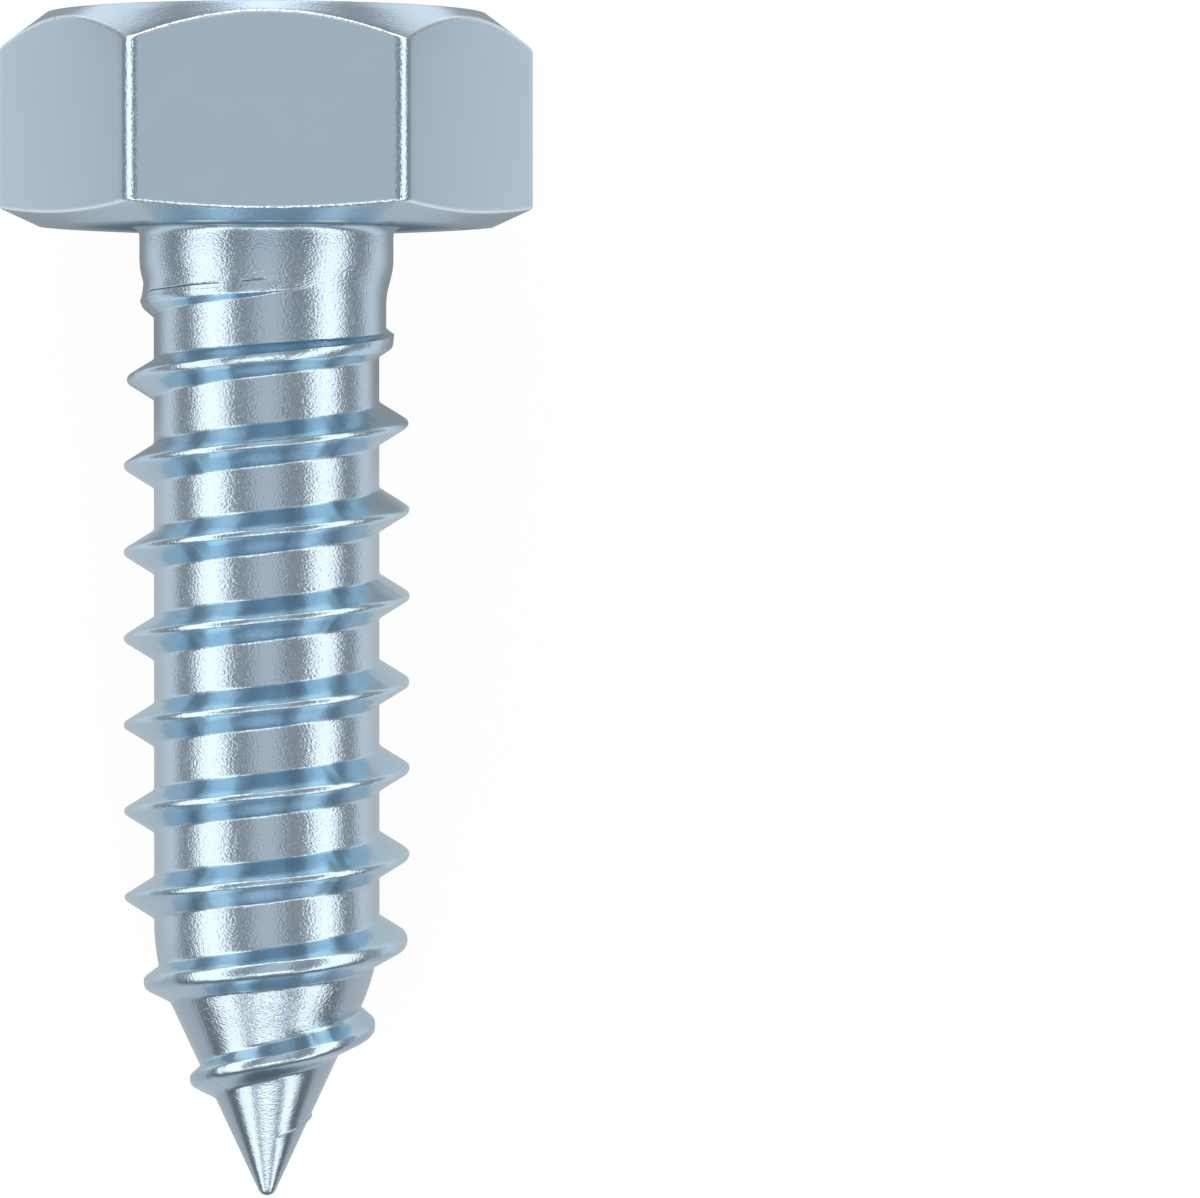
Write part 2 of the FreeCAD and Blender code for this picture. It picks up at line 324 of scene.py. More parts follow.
def through(value, places, levels):
    """A smooth curve through levels at places: between two of them it is a cubic with level-limited slopes."""
    places, levels = np.asarray(places, float), np.asarray(levels, float)
    steps = np.diff(places)
    rises = np.diff(levels) / steps
    slopes = np.zeros(len(places))
    same_way = rises[:-1] * rises[1:] > 0
    harmonic = 2 * rises[:-1] * rises[1:] / np.where(same_way, rises[:-1] + rises[1:], 1)
    slopes[1:-1] = np.where(same_way, harmonic, 0)
    value = np.clip(value, places[0], places[-1])
    index = np.clip(np.searchsorted(places, value, side="right") - 1, 0, len(steps) - 1)
    step = steps[index]
    share = (value - places[index]) / step
    start, end = levels[index], levels[index + 1]
    leave, arrive = slopes[index] * step, slopes[index + 1] * step
    return (
        (2 * share**3 - 3 * share**2 + 1) * start
        + (share**3 - 2 * share**2 + share) * leave
        + (3 * share**2 - 2 * share**3) * end
        + (share**3 - share**2) * arrive
    )


def waver(turn, size, seed, slowest, fastest, waves=14):
    """A smooth random wave along the thread: a sum of sines whose counts per turn grow by an even ratio."""
    draw = np.random.default_rng(seed)
    counts = np.geomspace(slowest, fastest, waves)
    phases = draw.uniform(0, 2 * math.pi, waves)
    sines = np.sin(2 * math.pi * np.asarray(turn)[..., None] * counts + phases)
    return size * (sines.sum(-1) / math.sqrt(waves / 2))


def rounded_rows(corners, radii, arc_steps, straight_steps):
    """Rows of points down an outline, one outline for each column of the mesh.

    corners is a list of arrays of shape (columns, 2). At each inner corner the outline follows a circular arc,
    written as a rational quadratic curve from one tangent point over the corner to the other, whose middle
    weight is the cosine of half the turn. Straight stretches are divided evenly. The tangent points stay
    within 0.48 of the shorter side.
    """
    corners = [np.asarray(each, float) for each in corners]
    starts, ends, arcs = [corners[0]], [], []
    for before, corner, after, radius, steps in zip(corners, corners[1:], corners[2:], radii, arc_steps):
        back, ahead = before - corner, after - corner
        back_length = np.linalg.norm(back, axis=1, keepdims=True)
        ahead_length = np.linalg.norm(ahead, axis=1, keepdims=True)
        back = back / np.maximum(back_length, 1e-9)
        ahead = ahead / np.maximum(ahead_length, 1e-9)
        cosine = np.clip((back * ahead).sum(1, keepdims=True), -1, 1)
        half = np.arccos(cosine) / 2
        reach = np.minimum(radius / np.tan(half), 0.48 * np.minimum(back_length, ahead_length))
        first, last = corner + back * reach, corner + ahead * reach
        share = np.linspace(0, 1, steps + 1)[:, None, None]
        weights = (1 - share) ** 2, 2 * share * (1 - share) * np.sin(half), share**2
        arcs.append((weights[0] * first + weights[1] * corner + weights[2] * last) / sum(weights))
        ends.append(first)
        starts.append(last)
    ends.append(corners[-1])

    rows = []
    for index, (start, end) in enumerate(zip(starts, ends)):
        share = np.arange(straight_steps[index])[:, None, None] / straight_steps[index]
        rows.append(start + (end - start) * share)
        if index < len(arcs):
            rows.append(arcs[index][:-1])
    rows.append(corners[-1][None])
    return np.concatenate(rows)


def flat_end_angle(head):
    """Half the angle of a flat: the arctangent of its half width over its distance from the axis."""
    apothem, rounding = head["across_flats"] / 2, head["corner_radius"]
    return math.atan((apothem - rounding) * math.tan(HALF_SIDE) / apothem)


def column_angles(head):
    """Angles about the axis in a full turn: even steps over each flat and finer ones over each corner."""
    corner = HALF_SIDE - flat_end_angle(head)
    side = 2 * HALF_SIDE
    first = np.linspace(0, corner, CORNER_STEPS, endpoint=False)
    flat = np.linspace(corner, side - corner, FLAT_STEPS, endpoint=False)
    last = np.linspace(side - corner, side, CORNER_STEPS, endpoint=False)
    sector = np.concatenate([first, flat, last])
    return np.concatenate([sector + side * index for index in range(SIDES)])


def hexagon_radius(angle, head):
    """Distance from the axis to a hexagon with rounded corners: a line's on a flat, a circle's at a corner."""
    apothem, rounding = head["across_flats"] / 2, head["corner_radius"]
    from_flat = np.abs(np.mod(angle, 2 * HALF_SIDE) - HALF_SIDE)
    from_corner = HALF_SIDE - from_flat
    centre = (apothem - rounding) / math.cos(HALF_SIDE)
    across = np.minimum(centre * np.sin(from_corner), rounding)
    arc = centre * np.cos(from_corner) + np.sqrt(rounding**2 - across**2)
    return np.where(from_flat <= flat_end_angle(head), apothem / np.cos(from_flat), arc)


def head_rows(angle, head, shank, ring_height):
    """The head's outline at each angle, from the middle of its top to a ring on the neck.

    It goes out over the top, down the top chamfer's cone, down the flat, in along the skirt to the rim of
    the bearing face, across that face and down the neck. The rim is drawn in evenly from the corners to
    the middles of the flats. Every edge is rounded.
    """
    outside = hexagon_radius(angle, head)
    same = np.ones_like(outside)
    apothem, top_radius = head["across_flats"] / 2, head["top_circle"] / 2
    top_edge = head["height"] - (outside - top_radius) * math.tan(head["top_angle"])
    low_edge = head["skirt_height"] + head["skirt_rise"] * (outside - apothem)
    cornerness = (outside - apothem) / (outside.max() - apothem)
    rim = head["bearing_flat"] + (head["bearing_corner"] - head["bearing_flat"]) * cornerness
    neck_radius = shank["neck_diameter"] / 2
    corners = [
        (0.0 * same, head["height"] * same),
        (top_radius * same, head["height"] * same),
        (outside, top_edge),
        (outside, low_edge),
        (rim, 0.0 * same),
        (neck_radius * same, 0.0 * same),
        (neck_radius * same, ring_height * same),
    ]
    corners = [np.stack(pair, 1) for pair in corners]
    return rounded_rows(corners, HEAD_ROUNDINGS + [shank["neck_fillet"]], HEAD_ARCS, HEAD_STRAIGHTS)


def zone_rows(levels, arc_steps, straight_steps):
    """A finish's share on each row of an outline: a level on each straight stretch, blended over each arc."""
    rows = []
    for index, level in enumerate(levels):
        rows += [level] * straight_steps[index]
        if index < len(arc_steps):
            steps = arc_steps[index]
            rows += [level + (levels[index + 1] - level) * step / steps for step in range(steps)]
    return np.array(rows + [levels[-1]])


def edge_rows(arc_steps, straight_steps, edges):
    """1 over the middle of an outline's chosen arcs, falling to 0 at their ends and on all other rows."""
    rows = []
    for index, steps in enumerate(straight_steps):
        rows += [0.0] * steps
        if index < len(arc_steps):
            bow = np.sin(math.pi * np.arange(arc_steps[index]) / arc_steps[index])
            rows += list(bow * (index in edges))
    return np.array(rows + [0.0])


def core_radius(height, shank):
    """The core's radius at a height: the cylinder, the shoulder's arc, the cone and the ball of the tip."""
    half = shank["point_angle"] / 2
    root, tip = shank["root_diameter"] / 2, shank["tip_radius"]
    apex = -shank["length"] - tip * (1 / math.sin(half) - 1)
    shoulder = apex + root / math.tan(half)
    rounding = shank["shoulder_radius"]
    arc_start = shoulder + rounding * math.tan(half / 2)
    arc_end = arc_start - rounding * math.sin(half)
    drop = np.clip(arc_start - height, 0, rounding)
    arc = root - rounding + np.sqrt(rounding**2 - drop**2)
    cone = (height - apex) * math.tan(half)
    radius = np.where(height > arc_start, root, np.where(height > arc_end, arc, cone))
    ball_centre = -shank["length"] + tip
    ball_start = ball_centre - tip * math.sin(half)
    into_ball = np.clip(ball_centre - height, 0, tip)
    ball = np.sqrt(tip**2 - into_ball**2)
    return np.where(height < ball_start, ball, radius)


def groove_radius(turn, height, shank):
    """The surface between the ridges: the neck, the run-out's slope, the groove and the core at the point."""
    root, run_out = shank["root_diameter"] / 2, shank["run_out_diameter"] / 2
    shallow = (run_out - root) * (1 - smooth(turn, *GROOVE_DEEPENS))
    slope_end = shank["neck_length"] + shank["run_out_length"]
    neck_left = 1 - smooth(-height, shank["neck_length"], slope_end)
    above_groove = (shank["neck_diameter"] / 2 - run_out) * neck_left
    return core_radius(height, shank) + shallow + above_groove


def ridge_rows(turn, shank, lowest, highest):
    """One turn of the thread at each angle, from mid-groove above the ridge to mid-groove below it.

    The outline runs in distance along the axis and height over the ground: level groove, upper flank, crest,
    lower flank, level groove. The ground passes from the groove above to the one below across the crest. The
    ridge fades in below the neck, drops a little near the point and sinks into the cone, where a low lip is
    left. Returns the radii, the heights and the share of the flanks' finish.
    """
    pitch, flank = shank["pitch"], math.tan(shank["flank_angle"])
    middle = -shank["crest_depth"] - pitch * turn - through(turn, *LATE_DROP)
    half_crest = shank["crest_width"] / 2
    crest_start = -through(turn, *CREST_STARTS) - half_crest + waver(turn, *START_WAVE)
    crest_end = through(turn, *CREST_ENDS) + half_crest + waver(turn, *END_WAVE)
    above = groove_radius(turn, middle - crest_start, shank)
    below = groove_radius(turn + 1, middle - crest_end, shank)

    early = above + through(turn, *EARLY_RISE)
    late = through(turn, *CREST_RADII) + shank["crest_diameter"] / 2
    crest_radius = np.where(turn < CREST_RADII[0][0], early, late) + waver(turn, *RADIUS_WAVE)
    present = smooth(turn, *RIDGE_RISES)
    sinking = 1 - smooth(turn, *RIDGE_SINKS)
    lip = (LIP_HEIGHT + LIP_GAIN * smooth(turn, *LIP_GROWS)) * smooth(turn, *LIP_STARTS)
    lip = lip * (1 - smooth(turn, *LIP_ENDS))
    height_above = np.maximum(crest_radius - above, 0) * present * sinking + lip
    height_below = np.maximum(crest_radius - below, 0) * present * sinking + lip
    lean = through(turn, *EARLY_LEAN)
    foot_start = crest_start - height_above * (flank + lean)
    lower_lean = LOWER_FLANK_LEAN * (1 - smooth(turn, *LOWER_FLANK_STEEPENS))
    foot_end = crest_end + height_below * (flank + lower_lean)

    half = pitch / 2
    level = np.zeros_like(turn)
    corners = [
        (-half + level, level),
        (foot_start, level),
        (crest_start, height_above),
        (crest_end, height_below),
        (foot_end, level),
        (half + level, level),
    ]
    corners = [np.stack(pair, 1) for pair in corners]
    filled = smooth(turn, *RIDGE_FILLS)[:, None]
    foot, crest = FOOT_ROUNDING + FOOT_GAIN * filled, CREST_ROUNDING + CREST_GAIN * filled
    rows = rounded_rows(corners, [foot, crest, crest, foot], RIDGE_ARCS, RIDGE_STRAIGHTS)[:-1]
    along, over = rows[..., 0], rows[..., 1]
    evenly = np.linspace(-half, half, len(rows), endpoint=False)[:, None]
    spread = 1 - smooth(turn, *ROWS_GATHER) + smooth(turn, *ROWS_SPREAD)
    along = along + spread * (evenly - along)
    heights = np.clip(middle - along, lowest, highest)
    heights = np.where(heights > highest - SNAP, highest, heights)
    heights = np.where(heights < lowest + SNAP, lowest, heights)
    passed = smooth(along, crest_start, crest_end)
    ground = (1 - passed) * groove_radius(turn + 0 * along, heights, shank)
    ground = ground + passed * groove_radius(turn + 1 + 0 * along, heights, shank)
    share_above = np.clip(height_above / FULL_FLANK, 0, 1) * (1 - smooth(lean, *FLAT_LEAN))
    share_below = np.clip(height_below / FULL_FLANK, 0, 1)
    return ground + over, heights, np.where(along < (crest_start + crest_end) / 2, share_above, share_below)


def tip_rings(angle, shank):
    """Rings down the cone in even steps, then over the ball of the tip at even angles: radii and heights."""
    half, tip = shank["point_angle"] / 2, shank["tip_radius"]
    ball_start = -shank["length"] + tip - tip * math.sin(half)
    cone_heights = END_RING_HEIGHT + (ball_start - END_RING_HEIGHT) * np.linspace(0, 1, CONE_STEPS + 1)[1:]
    ball_angles = half + (math.pi / 2 - half) * np.linspace(0, 1, BALL_STEPS + 1)[1:-1]
    ball_heights = -shank["length"] + tip - tip * np.sin(ball_angles)
    heights = np.concatenate([cone_heights, ball_heights])[:, None] + 0 * angle
    return core_radius(heights, shank), heights


def closed(ids):
    """Rings with their first column repeated at the end."""
    return np.concatenate([ids, ids[:, :1]], 1)


def triangles(ids):
    """Two triangles for each cell of a grid whose rows go down and columns go round."""
    upper_left, upper_right = ids[:-1, :-1], ids[:-1, 1:]
    lower_left, lower_right = ids[1:, :-1], ids[1:, 1:]
    first = np.stack([upper_left, lower_left, lower_right], -1).reshape(-1, 3)
    second = np.stack([upper_left, lower_right, upper_right], -1).reshape(-1, 3)
    return np.concatenate([first, second])


def surface_grid(head, shank):
    """The whole screw as rows of rings: the head, the helical band of the thread and the tip.

    Returns corner positions standing upright, the triangles, and the share of each finish at each vertex.
    The band's rows run along the thread, so its last column is its first one a turn further up. Rows past
    the band's two end rings fall onto them, and triangles without area are left out.
    """
    angle = column_angles(head)
    columns = len(angle)

    head_part = head_rows(angle, head, shank, RING_HEIGHT)
    head_radii, head_heights = head_part[1:, :, 0], head_part[1:, :, 1]

    round_angle = np.append(angle, 2 * math.pi)
    blocks = [
        ridge_rows((math.pi - round_angle) / (2 * math.pi) + turn, shank, END_RING_HEIGHT, RING_HEIGHT)
        for turn in range(FIRST_TURN, LAST_TURN + 1)
    ]
    band_radii, band_heights, band_shares = (np.concatenate(part) for part in zip(*blocks))
    rows_per_turn = len(blocks[0][0])

    tip_radii, tip_heights = tip_rings(angle, shank)

    positions, finishes, counts = [], [], []
    kinds = len(FINISH_ZONES)

    def place(radii, heights, angles, zones=(0.0,) * kinds):
        """Puts rings of points at their radii, angles and heights, with each row's shares of the finishes."""
        across = np.broadcast_to(angles, radii.shape)
        points = np.stack([radii * np.cos(across), radii * np.sin(across), heights], -1)
        positions.append(points.reshape(-1, 3))
        shares = np.broadcast_to(np.asarray(zones, float).reshape(-1, 1, kinds), (*radii.shape, kinds))
        finishes.append(shares.reshape(-1, kinds))
        counts.append(radii.size)
        return np.arange(radii.size).reshape(radii.shape) + sum(counts) - radii.size

    levels = (PRESSED_LEVELS, TURNED_LEVELS, SKIRT_FLANK_LEVELS)
    # Rows of painted shade on the face under the head, and rows of painted highlight on the head's edge
    # roundings
    painted_shade = through(np.arange(len(head_part)), *PAINTED_SHADE_ROWS)
    bright = edge_rows(HEAD_ARCS, HEAD_STRAIGHTS, BRIGHT_ARCS)
    head_zones = np.stack([*(zone_rows(each, HEAD_ARCS, HEAD_STRAIGHTS) for each in levels), painted_shade, bright], -1)
    flank_rows = zone_rows(RIDGE_FLANK_LEVELS, RIDGE_ARCS, RIDGE_STRAIGHTS)[:-1]
    end_heights = np.full((1, columns), END_RING_HEIGHT)
    top_id = place(np.zeros((1, 1)), np.full((1, 1), head["height"]), np.zeros(1), head_zones[0])[0, 0]
    head_ids = place(head_radii, head_heights, angle, head_zones[1:])
    band_ids = place(band_radii, band_heights, round_angle)
    end_ring = place(core_radius(end_heights, shank), end_heights, angle)[0]
    tip_ids = place(tip_radii, tip_heights, angle)
    end_id = place(np.zeros((1, 1)), np.full((1, 1), -shank["length"]), np.zeros(1))[0, 0]

    finishes = np.concatenate(finishes)
    flank_zone, edge_zone = FINISH_ZONES.index("flank"), FINISH_ZONES.index("edge")
    finishes[band_ids, flank_zone] = np.tile(flank_rows, len(blocks))[:, None] * band_shares
    from_corner = np.abs(np.mod(angle + HALF_SIDE, 2 * HALF_SIDE) - HALF_SIDE)
    on_flat = zone_rows(ON_FLAT_LEVELS, HEAD_ARCS, HEAD_STRAIGHTS)[1:, None]
    worn = (1 - smooth(from_corner, *WORN_CORNER)) * on_flat
    finishes[head_ids, edge_zone] = np.maximum(finishes[head_ids, edge_zone], worn)

    first_ring = np.append(head_ids[-1], head_ids[-1, 0])
    last_ring = np.append(end_ring, end_ring[0])
    band_ids[rows_per_turn:, -1] = band_ids[:-rows_per_turn, 0]
    band_ids[:rows_per_turn, -1] = first_ring[-1]
    band_ids = np.where(band_heights >= RING_HEIGHT, first_ring, band_ids)
    band_ids = np.where(band_heights <= END_RING_HEIGHT, last_ring, band_ids)

    top_fan = np.concatenate([np.full((1, columns + 1), top_id), closed(head_ids[:1])])
    end_fan = np.concatenate([closed(tip_ids[-1:]), np.full((1, columns + 1), end_id)])
    faces = np.concatenate([
        triangles(top_fan),
        triangles(closed(head_ids)),
        triangles(np.concatenate([band_ids, last_ring[None]])),
        triangles(np.concatenate([last_ring[None], closed(tip_ids)])),
        triangles(end_fan),
    ])
    distinct = (
        (faces[:, 0] != faces[:, 1]) & (faces[:, 1] != faces[:, 2]) & (faces[:, 2] != faces[:, 0])
    )
    faces = faces[distinct]
    used, faces = np.unique(faces, return_inverse=True)
    return np.concatenate(positions)[used], faces.reshape(-1, 3), finishes[used]


def laid(points):
    """Turns upright points in millimetres to the resting screw's place in metres."""
    basis = np.stack([SIDEWAYS, -UPWARDS, HEADWARDS])
    return points @ basis * MM


def mesh_from(name, points, faces):
    """A mesh object from arrays of points and triangles, shaded smooth."""
    mesh = bpy.data.meshes.new(name)
    mesh.vertices.add(len(points))
    mesh.vertices.foreach_set("co", points.astype(np.float32).ravel())
    mesh.loops.add(faces.size)
    mesh.loops.foreach_set("vertex_index", faces.astype(np.int32).ravel())
    mesh.polygons.add(len(faces))
    mesh.polygons.foreach_set("loop_start", np.arange(0, faces.size, 3, dtype=np.int32))
    mesh.update(calc_edges=True)
    mesh.polygons.foreach_set("use_smooth", np.ones(len(faces), bool))
    mesh.validate()
    made = bpy.data.objects.new(name, mesh)
    bpy.context.scene.collection.objects.link(made)
    return made


def keep_values(mesh, name, values):
    """Keeps a number or a vector at each vertex of a mesh."""
    kind, field = ("FLOAT", "value") if values.ndim == 1 else ("FLOAT_VECTOR", "vector")
    attribute = mesh.attributes.new(name, kind, "POINT")
    attribute.data.foreach_set(field, values.astype(np.float32).ravel())


class Value:
    """A node's output that joins in arithmetic, where each operation adds a Math node."""

    def __init__(self, graph, socket):
        self.graph = graph
        self.socket = socket

    def __add__(self, other):
        return self.graph.math("ADD", self, other)

    def __radd__(self, other):
        return self.graph.math("ADD", other, self)

    def __sub__(self, other):
        return self.graph.math("SUBTRACT", self, other)

    def __rsub__(self, other):
        return self.graph.math("SUBTRACT", other, self)

    def __mul__(self, other):
        return self.graph.math("MULTIPLY", self, other)

    def __rmul__(self, other):
        return self.graph.math("MULTIPLY", other, self)

    def __truediv__(self, other):
        return self.graph.math("DIVIDE", self, other)

    def __rtruediv__(self, other):
        return self.graph.math("DIVIDE", other, self)


class Graph:
    """Adds nodes to one material or world."""

    def __init__(self, tree):
        self.tree = tree
        self.tree.nodes.clear()

    def node(self, kind, settings=None, sockets=None, output=0):
        """Adds a node, sets its settings, then the values or links of its sockets, and returns one output."""
        made = self.tree.nodes.new(kind)
        for name, value in (settings or {}).items():
            setattr(made, name, value)
        for name, value in (sockets or {}).items():
            if isinstance(value, Value):
                self.tree.links.new(value.socket, made.inputs[name])
            else:
                made.inputs[name].default_value = value
        return Value(self, made.outputs[output]) if len(made.outputs) else made

    def math(self, operation, *numbers):
        """Adds a Math node."""
        return self.node("ShaderNodeMath", {"operation": operation}, dict(enumerate(numbers)))

    def vector(self, operation, *vectors, output="Vector"):
        """Adds a Vector Math node."""
        return self.node("ShaderNodeVectorMath", {"operation": operation}, dict(enumerate(vectors)), output)

    def ramp(self, value, start, end):
        """A ramp from 0 at start to 1 at end that leaves and arrives level."""
        settings = {"interpolation_type": "SMOOTHSTEP"}
        return self.node("ShaderNodeMapRange", settings, {0: value, 1: start, 2: end, 3: 0.0, 4: 1.0})

    def window(self, value, rise_start, rise_end, fall_start, fall_end):
        """1 between two ends and 0 outside them, with a ramp at each end."""
        return self.ramp(value, rise_start, rise_end) * (1 - self.ramp(value, fall_start, fall_end))

    def mix(self, share, first, second):
        """A colour from first at share 0 to second at share 1."""
        return self.node("ShaderNodeMix", {"data_type": "RGBA"}, {0: share, 6: first, 7: second}, 2)

    def attribute(self, name, output="Fac"):
        """A value or vector kept at the mesh's vertices."""
        return self.node("ShaderNodeAttribute", {"attribute_name": name}, {}, output)

    def noise(self, vector, scale, detail, roughness):
        """Smooth noise in space, between 0 and 1."""
        sockets = {"Vector": vector, "Scale": scale, "Detail": detail, "Roughness": roughness}
        return self.node("ShaderNodeTexNoise", {"noise_dimensions": "3D"}, sockets)

    def dot(self, vector, direction):
        """How far a vector reaches along a fixed direction."""
        return self.vector("DOT_PRODUCT", vector, tuple(direction), output="Value")


def rolled_laps(graph, upright):
    """Two short creases along the helix under the head: -1 along their middles and 0 elsewhere."""
    separate = graph.node("ShaderNodeSeparateXYZ", {}, {0: upright})
    sideways, depth, height = (Value(graph, socket) for socket in separate.socket.node.outputs)
    turn = FRONT_TURN - graph.math("ARCTAN2", sideways, 0 - depth) / (2 * math.pi)
    along = 0 - height / MM - LAP_START - turn * LAP_PITCH
    crease = 0 - graph.window(along, -LAP_WIDTH, 0.0, 0.0, LAP_WIDTH)
    first, second = (graph.window(turn, *ends) for ends in LAP_ENDS)
    return crease * (first + second)


def zinc_material(finish):
    """Blue zinc plating: a metal with fine grain, which the finish of each zone changes.

    The flats are pressed and smoother, the chamfers carry turned marks in rings, the flanks of the thread
    are bluer, the head's worn corners are smoother and grainier, its edge roundings carry a painted
    highlight, and painted shade darkens the face under the head towards the neck.
    """
    material = bpy.data.materials.new("blue_zinc_plating")
    material.use_nodes = True
    graph = Graph(material.node_tree)
    place = graph.node("ShaderNodeTexCoord", {}, {}, "Object")
    upright = graph.attribute("upright", "Vector")
    pressed, turned, flank, painted_shade_share, edge = (graph.attribute(name) for name in FINISH_ZONES)

    grain = graph.noise(graph.vector("MULTIPLY", upright, GRAIN_SHAPE), 1 / finish.grain_size, 1.0, 0.5)
    radius = graph.vector("LENGTH", graph.vector("MULTIPLY", upright, (1, 1, 0)), output="Value")
    rings = graph.node(
        "ShaderNodeTexNoise",
        {"noise_dimensions": "1D"},
        {"W": radius, "Scale": 1 / finish.mark_spacing, "Detail": 3.0, "Roughness": 0.7},
    )
    marks = rings * turned * finish.mark_height
    strength = (1 - pressed * PRESSED_LOSS) * (1 - turned * TURNED_LOSS) * (1 - flank * FLANK_LOSS)
    strength = strength + edge * EDGE_GRAIN
    strength = strength * (1 - CONE_LOSS * graph.ramp(graph.dot(upright, (0, 0, -1)), *CONE_START))
    laps = rolled_laps(graph, upright) * finish.lap_depth
    height = (grain - 0.5) * strength * finish.grain_height + marks + laps
    bump = graph.node("ShaderNodeBump", {}, {"Strength": 1.0, "Distance": 1.0, "Height": height})

    cloud = graph.noise(place, CLOUD_SCALE, 2.0, 0.5)
    pale = (*finish.colour, 1)
    deep = (*(part * CLOUD_SHADE for part in finish.colour), 1)
    colour = graph.mix(flank, graph.mix(cloud, deep, pale), (*finish.flank_colour, 1))
    # Painted highlight: the head's edge roundings take a pale colour, and the pressed flats do not
    colour = graph.mix(edge * (1 - pressed) * PAINTED_HIGHLIGHT_STRENGTH, colour, (*finish.painted_highlight_colour, 1))
    base = finish.rolled_roughness
    roughness = (
        base
        + pressed * (finish.pressed_roughness - base)
        + turned * (finish.turned_roughness - base)
        + flank * (finish.flank_roughness - base)
        + edge * pressed * (finish.edge_roughness - finish.pressed_roughness)
        + cloud * CLOUD_ROUGHNESS
    )
    shader = graph.node(
        "ShaderNodeBsdfPrincipled",
        {},
        {"Base Color": colour, "Metallic": 1.0, "Roughness": roughness, "Normal": bump},
    )
    # Painted shade: towards the neck, the face under the head turns into a dark rough surface
    painted_shade_settings = {"Metallic": 0.0, "Roughness": PAINTED_SHADE_ROUGHNESS, "Specular IOR Level": 0.0}
    painted_shade = graph.node("ShaderNodeBsdfPrincipled", {}, {"Base Color": (*finish.painted_shade_colour, 1), **painted_shade_settings})
    surface = graph.node("ShaderNodeMixShader", {}, {0: painted_shade_share, 1: shader, 2: painted_shade})
    graph.node("ShaderNodeOutputMaterial", {}, {"Surface": surface})
    return material


class SCREW_OT_screw(bpy.types.Operator):
    """Build the screw as one closed mesh and plate it"""

    bl_idname = "screw.build_screw"
    bl_label = "Build Screw"

    def execute(self, context):
        head = in_millimetres(context.scene.screw_head)
        shank = in_millimetres(context.scene.screw_shank)
        points, faces, finishes = surface_grid(head, shank)
        screw = mesh_from(PIECE_NAME, laid(points), faces)
        keep_values(screw.data, "upright", points * MM)
        for name, shares in zip(FINISH_ZONES, finishes.T):
            keep_values(screw.data, name, shares)
        screw.data.materials.append(zinc_material(context.scene.screw_finish))
        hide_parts("screw")
        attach(screw, "root")
        return {"FINISHED"}


def floor_material(studio):
    """A pale floor that keeps the screw's shadow and is nearly white to the camera.

    Metal sees painted emission instead: a sheet whose brightness falls off in painted shade close to the screw,
    most of all under the head, and which ends in the dim room. Painted bright cards lie beyond the head, and
    painted shade darkens the floor beyond the point.
    """
    material = bpy.data.materials.new("pale_floor")
    material.use_nodes = True
    graph = Graph(material.node_tree)
    place = graph.node("ShaderNodeTexCoord", {}, {}, "Object")
    along, across = graph.dot(place, HEADWARDS), graph.dot(place, SIDEWAYS)
    across = graph.math("ABSOLUTE", across)
    pointwards = 0 - along
    room = studio.room_radiance
    bright, dim = studio.sheet_radiance, studio.shade_radiance
    # Painted light for metal: shade near the screw and under the head, bright cards, and a darker floor past
    # the point
    shade = dim + graph.ramp(across, *SHADE_SIDE) * (bright - dim)
    shade = shade + graph.ramp(pointwards, *SHADE_POINT) * (SHADE_POINT_SHARE * bright - shade)
    under = (1 - graph.ramp(across, *UNDER_SIDE)) * graph.ramp(along, *UNDER_HEAD)
    shade = shade * (1 - UNDER_LOSS * under)
    sheet = (1 - graph.ramp(across, *SHEET_SIDE)) * (1 - graph.ramp(along, *SHEET_HEAD))
    sheet = sheet * (1 - graph.ramp(pointwards, *SHEET_POINT))
    middle_card = (1 - graph.ramp(across, *MIDDLE_CARD_SIDE)) * graph.ramp(along, *MIDDLE_CARD_BEYOND)
    side_card = graph.window(across, *SIDE_CARD_SIDE) * graph.window(along, *SIDE_CARD_BEYOND)
    cards = middle_card * studio.middle_card_radiance + side_card * studio.side_card_radiance
    level = (room + sheet * (shade - room) + cards) * (1 - DARK_LOSS * graph.ramp(pointwards, *DARK_POINT))

    camera = graph.node("ShaderNodeLightPath", {}, {}, "Is Camera Ray")
    glossy = graph.node("ShaderNodeLightPath", {}, {}, "Is Glossy Ray")
    tint = studio.floor_colour
    plain = graph.node("ShaderNodeBsdfDiffuse", {}, {"Color": (tint, tint, tint, 1)}, 0)
    white = graph.node("ShaderNodeEmission", {}, {"Color": (1, 1, 1, 1), "Strength": FLOOR_WHITE})
    black = graph.node("ShaderNodeEmission", {}, {"Color": (0, 0, 0, 1), "Strength": 1.0})
    full = graph.node("ShaderNodeEmission", {}, {"Color": (1, 1, 1, 1), "Strength": BRIGHTEST})
    seen = graph.node("ShaderNodeMixShader", {}, {0: level / BRIGHTEST, 1: black, 2: full})
    whiteness = 1 - sheet * (1 - studio.floor_whiteness)
    shown = graph.node("ShaderNodeMixShader", {}, {0: camera * whiteness, 1: plain, 2: white})
    surface = graph.node("ShaderNodeMixShader", {}, {0: glossy, 1: shown, 2: seen})
    graph.node("ShaderNodeOutputMaterial", {}, {"Surface": surface})
    return material


